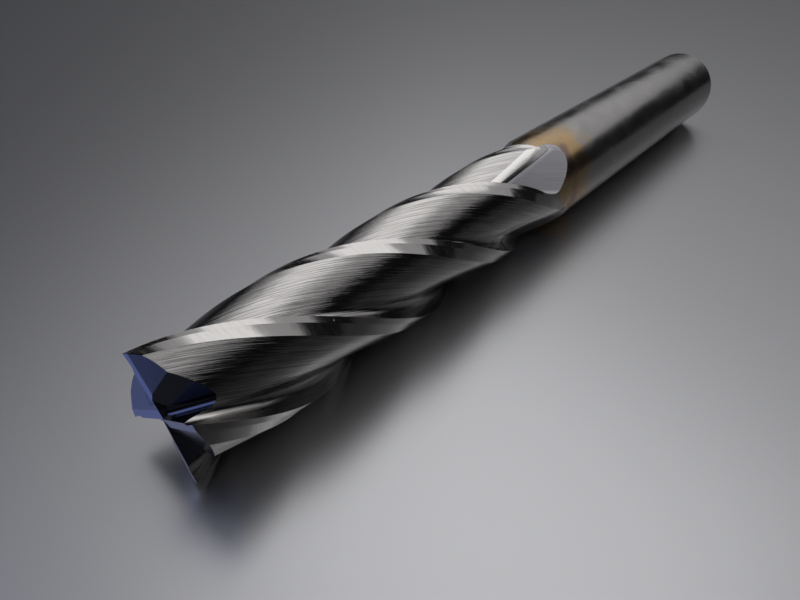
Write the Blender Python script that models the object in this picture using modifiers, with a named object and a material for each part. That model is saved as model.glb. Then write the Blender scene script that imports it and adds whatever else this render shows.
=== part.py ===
"""Solid carbide square end mill: four flutes, right-hand helix and cut, two teeth cutting to the centre.

It is ground from one rod, so it is one solid. It stands on its shank end, with Z up its axis to the
cutting tip. Each grinding pass is a cutter taken from the rod: first the relief of the end teeth and
the gashes in front of them, then the flutes, and last the relief behind each cutting edge.
"""
import math

import bmesh
import bpy
import numpy as np
from mathutils import Matrix, Vector

# The rod, in metres.
OVERALL_LENGTH = 0.1016
SHANK_DIAMETER = 0.0111125
CUTTING_DIAMETER = 0.0110700
SHANK_CHAMFER = 0.0005
ROD_SIDES = 72
ROD_SIDE_OFFSET = 0.3

# The flutes. Angles are in degrees, and distances along the tool count from the tip.
FLUTES = 4
HELIX_ANGLE = 30.0
FIRST_EDGE_ANGLE = -58.8
CORE_DIAMETER = 0.0075
HOOK_ANGLE = 8.0
GULLET_RADIUS = 0.00083
BACK_RADIUS = 0.0050
FULL_FLUTE_LENGTH = 0.0415
CONTACT_SLANT = 0.0080
WHEEL_RADIUS = 0.0500

# The relief ground along each land, behind the cutting edge.
PRIMARY_LAND = 0.00060
PRIMARY_RELIEF = 8.0
SECONDARY_RELIEF = 16.0
LAND_ANGLE = 18.4
RELIEF_LENGTH = 0.0480
RELIEF_FADE = 0.0030
RELIEF_LIFT = 0.0004

# The end teeth. A gash is the notch in front of one: its floor slopes down towards the outside of the
# tool, rises towards the tooth ahead, and meets the tooth's face in a rounded corner.
DISH_ANGLE = 1.5
END_PRIMARY_WIDTH = 0.00070
END_PRIMARY_RELIEF = 6.0
END_SECONDARY_RELIEF = 18.0
GASH_RAKE = 5.0
GASH_SLOPE = 30.0
GASH_RISE = 28.0
GASH_CORNER_RADIUS = 0.00055
CENTRE_GASH_START = 0.00012
CENTRE_GASH_DEPTH = 0.00095
SHORT_GASH_START = 0.00107
SHORT_GASH_DEPTH = 0.00120

# The cutting end's blank stands proud of the lands by the stock, and widens to the shank over the neck.
GRINDING_STOCK = 0.00001
NECK_LENGTH = 0.0005

# How finely the ground surfaces are divided.
FLUTE_STEP_ANGLE = 6.0
RUNOUT_STEPS = 14
GULLET_STEPS = 5
BACK_STEPS = 8
ROOF_STEPS = 4
SHARP_ANGLE = 30.0

# How far a cutter reaches past the surface that it cuts through.
CLEAR = 0.0010
EDGE_OVERRUN = 0.0006
HEEL_OVERRUN = 0.0010
RELIEF_OVERRUN = 0.00035
FLUTE_ROOF = 0.0030
END_RELIEF_HEIGHT = 0.0020
RUNOUT_MARGIN = 1.25
SEAM = 0.00002
MERGE_DISTANCE = 0.00001

CENTRE_GASH = (CENTRE_GASH_START, CENTRE_GASH_DEPTH)
SHORT_GASH = (SHORT_GASH_START, SHORT_GASH_DEPTH)
HELIX_LEAD = math.pi * CUTTING_DIAMETER / math.tan(math.radians(HELIX_ANGLE))
CUTTING_RADIUS = CUTTING_DIAMETER / 2
SHANK_RADIUS = SHANK_DIAMETER / 2
EDGE_PITCH = 360.0 / FLUTES


def make_collection(name):
    collection = bpy.data.collections.new(name)
    bpy.context.scene.collection.children.link(collection)
    return collection


def face_outwards(mesh):
    grown = bmesh.new()
    grown.from_mesh(mesh)
    bmesh.ops.recalc_face_normals(grown, faces=grown.faces)
    grown.to_mesh(mesh)
    grown.free()


def mesh_object(name, vertices, faces, collection):
    mesh = bpy.data.meshes.new(name)
    mesh.from_pydata([tuple(v) for v in vertices], [], faces)
    face_outwards(mesh)
    thing = bpy.data.objects.new(name, mesh)
    collection.objects.link(thing)
    return thing


def turned_rod(collection):
    """The blank: a profile from the tip down the rod's side to the chamfered shank end, turned about Z.

    The turning starts off the first cutting edge, so no edge runs along a corner between two of its sides.
    """
    blank_radius = CUTTING_RADIUS + GRINDING_STOCK
    neck = OVERALL_LENGTH - RELIEF_LENGTH - RELIEF_FADE - NECK_LENGTH
    profile = [
        (0.0, OVERALL_LENGTH),
        (blank_radius, OVERALL_LENGTH),
        (blank_radius, neck),
        (SHANK_RADIUS, neck - NECK_LENGTH),
        (SHANK_RADIUS, SHANK_CHAMFER),
        (SHANK_RADIUS - SHANK_CHAMFER, 0.0),
        (0.0, 0.0),
    ]
    start = math.radians(FIRST_EDGE_ANGLE + 360.0 / ROD_SIDES * ROD_SIDE_OFFSET)
    points = [(r * math.cos(start), r * math.sin(start), z) for r, z in profile]
    rod = mesh_object("end_mill", points, [], collection)
    rod.data.edges.add(len(profile) - 1)
    for index, edge in enumerate(rod.data.edges):
        edge.vertices = (index, index + 1)
    turn = rod.modifiers.new("turn", "SCREW")
    turn.steps = ROD_SIDES
    turn.render_steps = ROD_SIDES
    turn.use_merge_vertices = True
    turn.merge_threshold = MERGE_DISTANCE
    return rod


def arc_points(centre, radius, start, end, steps):
    angles = np.linspace(start, end, steps + 1)
    return np.stack([centre[0] + radius * np.cos(angles), centre[1] + radius * np.sin(angles)], 1)


def flute_profile():
    """The flute across the tool, from outside the cutting edge to outside the heel of the tooth ahead.

    The cutting edge lies on +X, and the flute is on its +Y side. A straight hooked face runs in from the
    edge, a hollow arc rounds the bottom at the core, and a bulging arc climbs the back of the tooth ahead.
    """
    hook = math.radians(HOOK_ANGLE)
    inward = np.array([-math.cos(hook), -math.sin(hook)])
    across = np.array([-math.sin(hook), math.cos(hook)])
    edge = np.array([CUTTING_RADIUS, 0.0])
    # The gullet circle touches the hooked face and the core.
    start = edge + across * GULLET_RADIUS
    reach = CORE_DIAMETER / 2 + GULLET_RADIUS
    half = start @ inward
    depth = -half - math.sqrt(half * half - start @ start + reach * reach)
    gullet = start + inward * depth
    # The back circle touches the gullet circle from inside the tooth and passes through the heel.
    heel_angle = math.radians(EDGE_PITCH - LAND_ANGLE)
    heel = heel_radius() * np.array([math.cos(heel_angle), math.sin(heel_angle)])
    span = heel - gullet
    distance = math.hypot(*span)
    outer = BACK_RADIUS + GULLET_RADIUS
    along = (outer**2 - BACK_RADIUS**2 + distance**2) / (2 * distance)
    aside = math.sqrt(outer**2 - along**2)
    unit = span / distance
    back = gullet + unit * along + np.array([-unit[1], unit[0]]) * aside

    towards_face = math.atan2(-across[1], -across[0])
    towards_back = math.atan2(*(back - gullet)[::-1])
    bottom = arc_points(gullet, GULLET_RADIUS, towards_face % math.tau, towards_back % math.tau, GULLET_STEPS)
    leave = math.atan2(*(gullet - back)[::-1])
    arrive = math.atan2(*(heel - back)[::-1])
    climb = arc_points(back, BACK_RADIUS, leave, arrive, BACK_STEPS)
    past_edge = edge - inward * EDGE_OVERRUN
    tangent = np.array([-math.sin(arrive), math.cos(arrive)])
    past_heel = heel + tangent * HEEL_OVERRUN
    return np.vstack([past_edge, bottom, climb[1:], past_heel])


def relief_line():
    """The land's two flats across the tool: a point ahead of the edge, the step between them, and the
    direction of the second flat from there.
    """
    primary = math.radians(PRIMARY_RELIEF)
    secondary = math.radians(SECONDARY_RELIEF)
    edge = np.array([CUTTING_RADIUS, 0.0])
    ahead = edge + np.array([math.tan(primary), 1.0]) * CLEAR
    step = edge - np.array([math.tan(primary), 1.0]) * PRIMARY_LAND
    return ahead, step, np.array([-math.tan(secondary), -1.0])


def heel_radius():
    """Where the second flat has come down to at the heel."""
    _, step, direction = relief_line()
    heel = math.radians(-LAND_ANGLE)
    ray = np.array([math.cos(heel), math.sin(heel)])
    # The flat and the ray meet where step + direction * t lies along the ray.
    t = (step[0] * ray[1] - step[1] * ray[0]) / (direction[1] * ray[0] - direction[0] * ray[1])
    return math.hypot(*(step + direction * t))


def turned_about_z(points, angles):
    cosine = np.cos(angles)
    sine = np.sin(angles)
    x = points[..., 0] * cosine - points[..., 1] * sine
    y = points[..., 0] * sine + points[..., 1] * cosine
    return x, y


def loft(name, rings, collection):
    """A closed solid through rings of points, all with the same number of points, capped at both ends."""
    stations, count = rings.shape[:2]
    faces = []
    for i in range(stations - 1):
        for j in range(count):
            k = (j + 1) % count
            faces.append((i * count + j, i * count + k, (i + 1) * count + k, (i + 1) * count + j))
    faces.append(tuple(range(count))[::-1])
    faces.append(tuple((stations - 1) * count + j for j in range(count)))
    return mesh_object(name, rings.reshape(-1, 3), faces, collection)


def helix_angle_at(z):
    """How far the helix has turned at height z, in radians, counted from the tip."""
    return math.tau * (z - OVERALL_LENGTH) / HELIX_LEAD


def flute_cutter(edge_angle, name, collection):
    """The swept shape of the grinding wheel: up the helix at full depth, then out along the wheel's own arc."""
    profile = flute_profile()
    outer = SHANK_RADIUS + FLUTE_ROOF
    around = np.arctan2(profile[:, 1], profile[:, 0])
    roof_angles = np.linspace(around[-1], around[0], ROOF_STEPS + 1)
    roof = np.stack([outer * np.cos(roof_angles), outer * np.sin(roof_angles)], 1)
    ring = np.vstack([profile, roof])
    ring_angles = np.arctan2(ring[:, 1], ring[:, 0])
    # The wheel touches the heel's side of the flute further from the tip than the edge's side.
    slant = CONTACT_SLANT * np.clip(ring_angles / math.radians(EDGE_PITCH - LAND_ANGLE), 0.0, 1.0)
    top = OVERALL_LENGTH + CLEAR + CONTACT_SLANT
    bottom = OVERALL_LENGTH - FULL_FLUTE_LENGTH
    turns = math.degrees(helix_angle_at(top) - helix_angle_at(bottom))
    steps = math.ceil(turns / FLUTE_STEP_ANGLE)
    heights = np.linspace(top, bottom, steps + 1)[:, None] - slant[None, :]
    angles = math.radians(edge_angle) + helix_angle_at(heights)
    x, y = turned_about_z(np.broadcast_to(ring, heights.shape + (2,)), angles)
    rings = np.stack([x, y, heights], 2)

    # The wheel's last place: its centre stands off the flute's bottom, and its plane holds the helix.
    last = rings[-1]
    base = int(np.argmin(np.hypot(ring[:, 0], ring[:, 1])))
    contact = Vector(last[base])
    outward = Vector((contact.x, contact.y, 0.0)).normalized()
    sideways = Vector((outward.y, -outward.x, 0.0))
    lead_angle = math.radians(HELIX_ANGLE)
    travel = sideways * math.sin(lead_angle) - Vector((0.0, 0.0, 1.0)) * math.cos(lead_angle)
    centre = contact + outward * WHEEL_RADIUS
    axle = outward.cross(travel)
    depth = SHANK_RADIUS - CORE_DIAMETER / 2 + CLEAR
    sweep = math.acos(1.0 - depth / WHEEL_RADIUS) * RUNOUT_MARGIN
    lifted = []
    for step in range(1, RUNOUT_STEPS + 1):
        turn = Matrix.Rotation(-sweep * step / RUNOUT_STEPS, 3, axle)
        lifted.append([centre + turn @ (Vector(point) - centre) for point in last])
    rings = np.concatenate([rings, np.array(lifted)])
    return loft(name, rings, collection)


def relief_cutter(edge_angle, name, collection):
    """What the land loses behind one cutting edge: two flats carried down the helix, fading out at its end."""
    ahead, step, direction = relief_line()
    width = CUTTING_RADIUS * math.radians(LAND_ANGLE) - PRIMARY_LAND
    middle = step + direction * width / 2
    behind = step + direction * (width + RELIEF_OVERRUN)
    outer = CUTTING_RADIUS + CLEAR
    corner_angles = np.linspace(math.atan2(behind[1], behind[0]), math.atan2(ahead[1], ahead[0]), ROOF_STEPS + 1)
    roof = np.stack([outer * np.cos(corner_angles), outer * np.sin(corner_angles)], 1)
    ring = np.vstack([ahead, step, middle, behind, roof])
    top = OVERALL_LENGTH + CLEAR
    bottom = OVERALL_LENGTH - RELIEF_LENGTH
    turns = math.degrees(helix_angle_at(top) - helix_angle_at(bottom))
    steps = math.ceil(turns / FLUTE_STEP_ANGLE)
    end = bottom - RELIEF_FADE
    heights = np.append(np.linspace(top, bottom, steps + 1), [(bottom + end) / 2, end])
    # The wheel lifts along a parabola, so it has come up by a quarter when it is half way.
    lift = np.zeros(len(heights))
    lift[-2:] = RELIEF_LIFT / 4, RELIEF_LIFT
    radius = np.hypot(ring[:, 0], ring[:, 1])
    grown = ring[None] * (1 + lift[:, None] / radius[None, :])[..., None]
    angles = math.radians(edge_angle) + helix_angle_at(heights)
    x, y = turned_about_z(grown, angles[:, None])
    rings = np.stack([x, y, np.broadcast_to(heights[:, None], x.shape)], 2)
    return loft(name, rings, collection)


def place_at_tip(thing, edge_angle):
    """Turns a cutter that was made with its edge along +X, its flute on +Y and the tip at the origin."""
    place = Matrix.Translation((0.0, 0.0, OVERALL_LENGTH)) @ Matrix.Rotation(math.radians(edge_angle), 4, "Z")
    thing.data.transform(place)


def end_relief_cutter(edge_angle, name, collection):
    """The two flats behind an end tooth's edge, which dips towards the centre by the dish angle."""
    dish = math.tan(math.radians(DISH_ANGLE))
    primary = math.tan(math.radians(END_PRIMARY_RELIEF))
    secondary = math.tan(math.radians(END_SECONDARY_RELIEF))
    outside = CUTTING_RADIUS + CLEAR
    step = -END_PRIMARY_WIDTH * primary
    flats = [(CLEAR, CLEAR * primary), (-END_PRIMARY_WIDTH, step)]
    flats.append((-outside, step - (outside - END_PRIMARY_WIDTH) * secondary))
    rings = []
    for x in (SEAM, outside):
        edge = -(CUTTING_RADIUS - x) * dish
        lower = [(x, y, edge + drop) for y, drop in flats]
        rings.append(lower + [(x, -outside, END_RELIEF_HEIGHT), (x, CLEAR, END_RELIEF_HEIGHT)])
    cutter = loft(name, np.array(rings), collection)
    place_at_tip(cutter, edge_angle)
    return cutter


def gash_cutter(edge_angle, start, depth, name, collection):
    """The notch in front of an end tooth: the tooth's raked face, a rounded corner and the notch's floor."""
    rake = math.radians(GASH_RAKE)
    floor = math.radians(GASH_RISE)
    slope = math.tan(math.radians(GASH_SLOPE))
    outside = CUTTING_RADIUS + CLEAR
    # The arc touches the face, which leans back under the edge, and the floor.
    turns = np.linspace(math.pi + rake, 1.5 * math.pi + floor, GULLET_STEPS + 1)
    arc = GASH_CORNER_RADIUS * np.stack([np.cos(turns), np.sin(turns)], 1)
    rings = []
    for x in (start, outside):
        floor_height = -depth - (x - start) * slope
        # The centre of the arc lies one radius off both lines.
        up = floor_height + GASH_CORNER_RADIUS / math.cos(floor)
        across = (up * math.tan(rake) + GASH_CORNER_RADIUS / math.cos(rake)) / (1 - math.tan(rake) * math.tan(floor))
        centre = np.array([across, up + across * math.tan(floor)])
        corner = [(x, *point) for point in centre + arc]
        far = floor_height + outside * math.tan(floor)
        top = outside
        rings.append([(x, top * math.tan(rake), top), *corner, (x, outside, far), (x, outside, top)])
    cutter = loft(name, np.array(rings), collection)
    place_at_tip(cutter, edge_angle)
    return cutter


def cut(target, cutter):
    step = target.modifiers.new(cutter.name, "BOOLEAN")
    step.operation = "DIFFERENCE"
    step.solver = "EXACT"
    step.object = cutter
    cutter.hide_render = True
    cutter.display_type = "WIRE"


def carbide_material():
    material = bpy.data.materials.new("ground_carbide")
    material.use_nodes = True
    shader = material.node_tree.nodes["Principled BSDF"]
    shader.inputs["Base Color"].default_value = (0.33, 0.33, 0.34, 1.0)
    shader.inputs["Metallic"].default_value = 1.0
    shader.inputs["Roughness"].default_value = 0.28
    return material


def finish(rod):
    """Applies the cuts, then shades the ground surfaces smooth between the tool's real edges."""
    cut_rod = rod.evaluated_get(bpy.context.evaluated_depsgraph_get())
    ground = bpy.data.meshes.new_from_object(cut_rod)
    rod.modifiers.clear()
    rod.data = ground
    ground.shade_smooth()
    ground.set_sharp_from_angle(angle=math.radians(SHARP_ANGLE))
    ground.materials.clear()
    ground.materials.append(carbide_material())


def main():
    for thing in list(bpy.data.objects):
        bpy.data.objects.remove(thing, do_unlink=True)
    parts = make_collection("carbide_end_mill")
    cutters = make_collection("cutters")
    rod = turned_rod(parts)
    edges = [(index + 1, FIRST_EDGE_ANGLE + EDGE_PITCH * index) for index in range(FLUTES)]
    # The end comes first, while the rod is still plain there.
    for number, edge_angle in edges:
        cut(rod, end_relief_cutter(edge_angle, f"end_relief_{number}", cutters))
    for number, edge_angle in edges:
        gash = SHORT_GASH if number % 2 else CENTRE_GASH
        cut(rod, gash_cutter(edge_angle, *gash, f"gash_{number}", cutters))
    for number, edge_angle in edges:
        cut(rod, flute_cutter(edge_angle, f"flute_{number}", cutters))
    for number, edge_angle in edges:
        cut(rod, relief_cutter(edge_angle, f"land_relief_{number}", cutters))
    finish(rod)


main()
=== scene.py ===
"""Dresses a solid carbide end mill in the finish that each grinding pass leaves, and lays it on a bench.

The tool is ground here as it is in the CAD model, from the same sizes, but in much finer steps. The dwell
marks and the nicks are made here alone. Each pass is a closed surface worked out on a grid. It is taken from
the blank, and leaves behind its own finish, its own surface directions and a map in millimetres that runs
along the grinding marks.
"""

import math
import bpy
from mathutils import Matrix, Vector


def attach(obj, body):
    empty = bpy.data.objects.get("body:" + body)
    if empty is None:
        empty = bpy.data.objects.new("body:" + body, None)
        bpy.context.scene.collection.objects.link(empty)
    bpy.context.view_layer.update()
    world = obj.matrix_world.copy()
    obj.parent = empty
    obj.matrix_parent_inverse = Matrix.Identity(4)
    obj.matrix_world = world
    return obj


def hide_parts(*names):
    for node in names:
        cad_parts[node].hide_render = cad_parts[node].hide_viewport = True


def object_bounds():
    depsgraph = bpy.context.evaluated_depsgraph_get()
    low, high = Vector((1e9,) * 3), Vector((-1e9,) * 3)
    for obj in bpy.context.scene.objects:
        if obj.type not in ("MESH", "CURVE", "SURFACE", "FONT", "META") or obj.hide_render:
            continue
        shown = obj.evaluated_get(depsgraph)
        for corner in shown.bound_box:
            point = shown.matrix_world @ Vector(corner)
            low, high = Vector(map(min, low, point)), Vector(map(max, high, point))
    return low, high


bl_info = {
    "name": "Carbide End Mill",
    "version": (1, 0, 0),
    "blender": (4, 5, 0),
    "location": "3D View > Sidebar > End Mill",
    "description": "Grinds a four-flute carbide end mill and sets it on a plain bench",
    "category": "Add Mesh",
}

from typing import Iterable, NamedTuple, Optional

import bmesh
import bpy
import numpy as np
from bpy.props import FloatProperty, FloatVectorProperty, IntProperty, PointerProperty
from mathutils import Euler, Matrix

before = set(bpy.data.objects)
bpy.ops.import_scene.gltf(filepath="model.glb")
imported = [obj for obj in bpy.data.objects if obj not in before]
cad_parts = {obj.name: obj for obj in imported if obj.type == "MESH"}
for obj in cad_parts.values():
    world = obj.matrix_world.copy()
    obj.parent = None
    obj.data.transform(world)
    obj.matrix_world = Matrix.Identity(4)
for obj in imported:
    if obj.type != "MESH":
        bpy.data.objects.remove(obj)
CAD_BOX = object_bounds()
NODE = "end_mill"
BODY = "root"
MILLIMETRES = 1000.0


# Settings.


def setting(name, description, default, **kind):
    return FloatProperty(name=name, description=description, default=default, **kind)


def size(name, description, metres):
    return setting(name, description, metres, min=0.0, precision=5, unit="LENGTH")


def slant(name, description, degrees):
    return setting(name, description, math.radians(degrees), subtype="ANGLE", unit="ROTATION")


def power(name, description, watts):
    return setting(name, description, watts, min=0.0, unit="POWER")


def share(name, description, level):
    return setting(name, description, level, min=0.0, max=1.0, subtype="FACTOR")


def linear(hex_colour):
    """An sRGB hex colour as the linear red, green and blue that Blender's shaders take."""
    levels = np.array([int(hex_colour[i : i + 2], 16) for i in (1, 3, 5)]) / 255.0
    return tuple(np.where(levels <= 0.04045, levels / 12.92, ((levels + 0.055) / 1.055) ** 2.4).tolist())


def colour(name, description, hex_colour):
    return FloatVectorProperty(
        name=name,
        description=description,
        default=linear(hex_colour),
        min=0.0,
        max=1.0,
        size=3,
        subtype="COLOR",
    )


class EndMillSizes(bpy.types.PropertyGroup):
    """The tool's sizes, in metres and radians: the CAD model's, and those of the dwell marks and nicks."""

    length: size("Length", "Whole length of the tool", CAD_BOX[1][2] - CAD_BOX[0][2])
    shank: size("Shank diameter", "Diameter of the shank", CAD_BOX[1][0] - CAD_BOX[0][0])
    cutting: size("Cutting diameter", "Diameter over the cutting edges", 0.0110700)
    chamfer: size("Shank chamfer", "Chamfer on the shank's end", 0.0005)
    stock: size("Stock", "How far the blank stands proud of the lands before they are ground", 0.00001)
    neck: size("Neck", "Length over which the blank widens to the shank", 0.0005)
    flutes: IntProperty(name="Flutes", description="Number of flutes and teeth", default=4, min=2, max=8)
    helix: slant("Helix", "Angle between a cutting edge and the tool's axis", 30.0)
    first_edge: slant("First edge", "Where the first cutting edge meets the tip, around the axis", -58.8)
    core: size("Core diameter", "Diameter of the solid core between the flutes", 0.0075)
    hook: slant("Hook", "How far the cutting face leans back from the radius", 8.0)
    gullet: size("Gullet radius", "Hollow radius at the bottom of a flute", 0.00083)
    back: size("Back radius", "Bulging radius on the back of a tooth", 0.0050)
    flute_length: size("Flute length", "Length of a flute at its full depth", 0.0415)
    contact_slant: size("Contact slant", "How much further a flute runs at the heel than at the edge", 0.0080)
    wheel: size("Wheel radius", "Radius of the wheel that ground the flutes", 0.0500)
    dwell_rise: size("Dwell mark height", "Height of the ridge where the wheel stopped", 0.00009)
    dwell_lead: size("Dwell mark lead", "How far before the contact line it ends, at the edge", 0.0020)
    dwell_slant: size("Dwell mark slant", "How much later it ends at the heel than at the edge", 0.00368)
    nick_width: size("Nick width", "Width of a nick in a land", 0.00013)
    nick_depth: size("Nick depth", "Depth of a nick in a land", 0.00006)
    primary_land: size("Primary land", "Width of the narrow flat behind a cutting edge", 0.00060)
    primary_relief: slant("Primary relief", "Fall of the narrow flat behind a cutting edge", 8.0)
    secondary_relief: slant("Secondary relief", "Fall of the wide flat behind the narrow one", 16.0)
    land: slant("Land", "Width of the whole land around the axis", 18.4)
    relief_length: size("Relief length", "Length of the relief along the tool", 0.0480)
    relief_fade: size("Relief fade", "Length over which the relief runs out", 0.0030)
    relief_lift: size("Relief lift", "How far the wheel lifts as the relief runs out", 0.0004)
    dish: slant("Dish", "How far the end edges dip towards the centre", 1.5)
    end_primary: size("End primary width", "Width of the narrow flat behind an end edge", 0.00070)
    end_primary_relief: slant("End primary relief", "Fall of the narrow flat behind an end edge", 6.0)
    end_secondary_relief: slant("End secondary relief", "Fall of the wide flat behind an end edge", 18.0)
    gash_rake: slant("Gash rake", "Lean of an end tooth's face", 5.0)
    gash_slope: slant("Gash slope", "Fall of a gash towards the outside of the tool", 30.0)
    gash_rise: slant("Gash rise", "Climb of a gash's floor towards the tooth ahead", 28.0)
    gash_corner: size("Gash corner", "Radius in the corner of a gash", 0.00055)
    centre_gash_start: size("Centre gash start", "Where a gash to the centre starts", 0.00012)
    centre_gash_depth: size("Centre gash depth", "Depth of a gash to the centre where it starts", 0.00095)
    short_gash_start: size("Short gash start", "Where a short gash starts", 0.00107)
    short_gash_depth: size("Short gash depth", "Depth of a short gash where it starts", 0.00120)


class EndMillFinish(bpy.types.PropertyGroup):
    """Colours and roughness of the ground carbide, with painted light in the end teeth's and gashes' colours.
    """

    carbide: colour("Carbide", "Colour of bare ground carbide", "#9C9A98")
    burnished: colour("Burnished carbide", "Colour of the dwell marks, rubbed bright", "#ACAAA8")
    satin: colour("Satin carbide", "Colour of the scoops, where the wheel has lifted out", "#949397")
    # Painted blue reflection: the end margins' lilac blue stands in for cool light mirrored in neutral
    # carbide.
    margin: colour("End margins", "Colour of the narrow flats behind the end edges", "#A2A7CC")
    # Painted blue reflection: the end facets' dim blue grey stands in for cool, dim light mirrored in neutral
    # carbide.
    facet: colour("End facets", "Colour of the end teeth, freshly ground with a fine wheel", "#8688A0")
    # Painted shade: the gashes' dark blue grey is a darkened copy of the end teeth's tone, standing in for
    # their shade.
    gash: colour("Gashes", "Colour of the gashes, where little light comes back out", "#62636D")
    straw: colour("Straw tint", "Heat tint a little way from a scoop", "#B4925A")
    purple: colour("Purple tint", "Heat tint next to a scoop", "#6A5560")
    flute_roughness: share("Flute roughness", "Roughness of the flutes", 0.15)
    land_roughness: share("Land roughness", "Roughness of the lands", 0.19)
    facet_roughness: share("Facet roughness", "Roughness of the end teeth", 0.17)
    scoop_roughness: share("Scoop roughness", "Roughness of the scoops", 0.33)
    shank_roughness: share("Shank roughness", "Roughness of the shank", 0.24)
    line_spacing: size("Grinding line spacing", "Distance between the lines of grit", 0.00012)
    line_length: size("Grinding line length", "Length of one such line", 0.008)
    chatter_spacing: size("Chatter spacing", "Distance between the marks across the lines", 0.00020)


class EndMillBench(bpy.types.PropertyGroup):
    """The bench, the light and the camera."""

    bench: colour("Bench", "Colour of the bench", "#98989A")
    bench_roughness: share("Bench roughness", "Roughness of the bench", 0.36)
    backdrop: colour("Backdrop", "Colour behind the bench", "#D2D2D4")
    bench_size: size("Bench size", "Length of the bench's side", 3.0)
    key_power: power("Key power", "Power of the large soft lamp", 1.14)
    window_power: power("Window power", "Power of the cool lamp past the tip", 1.35)
    fill_power: power("Fill power", "Power of the soft lamp under the bench", 0.24)
    focal_length: setting("Focal length", "Focal length of the camera", 27.78, min=1.0, unit="CAMERA")


# Surfaces.

# The least length and area that a direction is divided by, so that an empty step or cell does no harm.
NO_LENGTH = 1e-12
NO_AREA = 1e-20


class Pass(NamedTuple):
    """One closed surface, as rings of points: an array of stations by points around by x, y, z.

    breaks and stops say where the surface has a real corner, around a ring and from ring to ring. across and
    along give each point's place on the map, in metres. kinds gives each ring's, or each cell's, place in the
    list of materials.
    """

    name: str
    rings: np.ndarray
    breaks: Iterable
    stops: Iterable
    across: np.ndarray
    along: np.ndarray
    materials: list
    kinds: Optional[np.ndarray] = None


def side_steps(points, corners, axis, closed):
    """Directions along one way of a grid at each step's start and end.

    A direction is the step's own at a corner. Elsewhere it blends the two steps that meet, the shorter one
    more, which is the tangent of the parabola through three points.
    """
    if closed:
        points = np.concatenate([points, np.take(points, [0], axis=axis)], axis)
    steps = np.moveaxis(np.diff(points, axis=axis), axis, 0)
    lengths = np.maximum(np.linalg.norm(steps, axis=-1, keepdims=True), NO_LENGTH)
    units = steps / lengths
    before, before_length = np.roll(units, 1, 0), np.roll(lengths, 1, 0)
    blended = units * before_length + before * lengths
    sharp = np.zeros(len(steps), bool)
    sharp[[c for c in corners if c < len(steps)]] = True
    if not closed:
        sharp[0] = True
    start = np.where(sharp[:, None, None], units, blended)
    ended = np.roll(sharp, -1) if closed else np.append(sharp[1:], True)
    end = np.where(ended[:, None, None], units, np.roll(blended, -1, 0))
    return np.moveaxis(start, 0, axis), np.moveaxis(end, 0, axis)


def corner_directions(rings, breaks, stops):
    """The surface's own direction at the four corners of each cell: the cross product of its two tangents."""
    around_start, around_end = side_steps(rings, breaks, 1, True)
    up_start, up_end = side_steps(rings, stops, 0, False)
    next_up_start, next_up_end = np.roll(up_start, -1, 1), np.roll(up_end, -1, 1)
    found = np.stack(
        [
            np.cross(around_start[:-1], up_start),
            np.cross(around_end[:-1], next_up_start),
            np.cross(around_end[1:], next_up_end),
            np.cross(around_start[1:], up_end),
        ],
        2,
    )
    return found / np.maximum(np.linalg.norm(found, axis=-1, keepdims=True), NO_AREA)


def mean_direction(points):
    """Newell's sum, which gives the direction of a flat ring of points."""
    nearby = np.roll(points, -1, 0)
    total = np.cross(points, nearby).sum(0)
    return total / max(float(np.linalg.norm(total)), NO_AREA)


def surface_object(work, collection, outwards=1.0):
    """Puts a pass into a mesh: four-sided cells between rings, and a flat cap over each end."""
    stations, count = work.rings.shape[:2]
    index = np.arange(stations * count).reshape(stations, count)
    near, far = index, np.roll(index, -1, 1)
    cells = np.stack([near[:-1], far[:-1], far[1:], near[1:]], -1).reshape(-1, 4)
    faces = cells.tolist() + [index[0, ::-1].tolist(), index[-1].tolist()]
    mesh = bpy.data.meshes.new(work.name)
    mesh.from_pydata(work.rings.reshape(-1, 3).tolist(), [], faces)

    directions = corner_directions(work.rings, work.breaks, work.stops).reshape(-1, 3)
    caps = [mean_direction(work.rings[0])] * count + [mean_direction(work.rings[-1])] * count
    caps = np.array(caps) * np.repeat([-1.0, 1.0], count)[:, None]
    # The cells' cross products and the caps turn the same way when the rings climb as they turn.
    turned = mesh_is_inside_out(mesh)
    if turned:
        mesh.flip_normals()
    directions = np.vstack([directions, caps]) * (-1.0 if turned else 1.0) * outwards

    place = np.stack([work.across, work.along], -1) * MILLIMETRES
    cell_map = np.stack([place[:-1, :-1], place[:-1, 1:], place[1:, 1:], place[1:, :-1]], 2).reshape(-1, 2)
    cap_map = np.vstack([work.rings[0, ::-1, :2], work.rings[-1, :, :2]]) * MILLIMETRES
    maps = np.vstack([cell_map, cap_map])

    # Flipping a face keeps its first corner and reverses the rest.
    loops = np.arange(len(maps))
    if turned:
        starts = np.append(np.arange(0, len(cells) * 4, 4), [len(cells) * 4, len(cells) * 4 + count])
        counts = np.append(np.full(len(cells), 4), [count, count])
        first = np.repeat(starts, counts)
        offset = loops - first
        loops = first + np.where(offset == 0, 0, np.repeat(counts, counts) - offset)
    mesh.attributes.new("ground_direction", "FLOAT_VECTOR", "CORNER").data.foreach_set(
        "vector", directions[loops].astype(np.float32).ravel()
    )
    mesh.uv_layers.new(name="grinding").data.foreach_set("uv", maps[loops].astype(np.float32).ravel())
    for material in work.materials:
        mesh.materials.append(material)
    if work.kinds is not None:
        given = work.kinds[:-1]
        kinds = np.zeros(len(faces), np.int32)
        kinds[: len(cells)] = np.repeat(given, count) if given.ndim == 1 else given.ravel()
        mesh.polygons.foreach_set("material_index", kinds)
    thing = bpy.data.objects.new(work.name, mesh)
    collection.objects.link(thing)
    return thing


def mesh_is_inside_out(mesh):
    look = bmesh.new()
    look.from_mesh(mesh)
    volume = look.calc_volume(signed=True)
    look.free()
    return volume < 0.0


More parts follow.
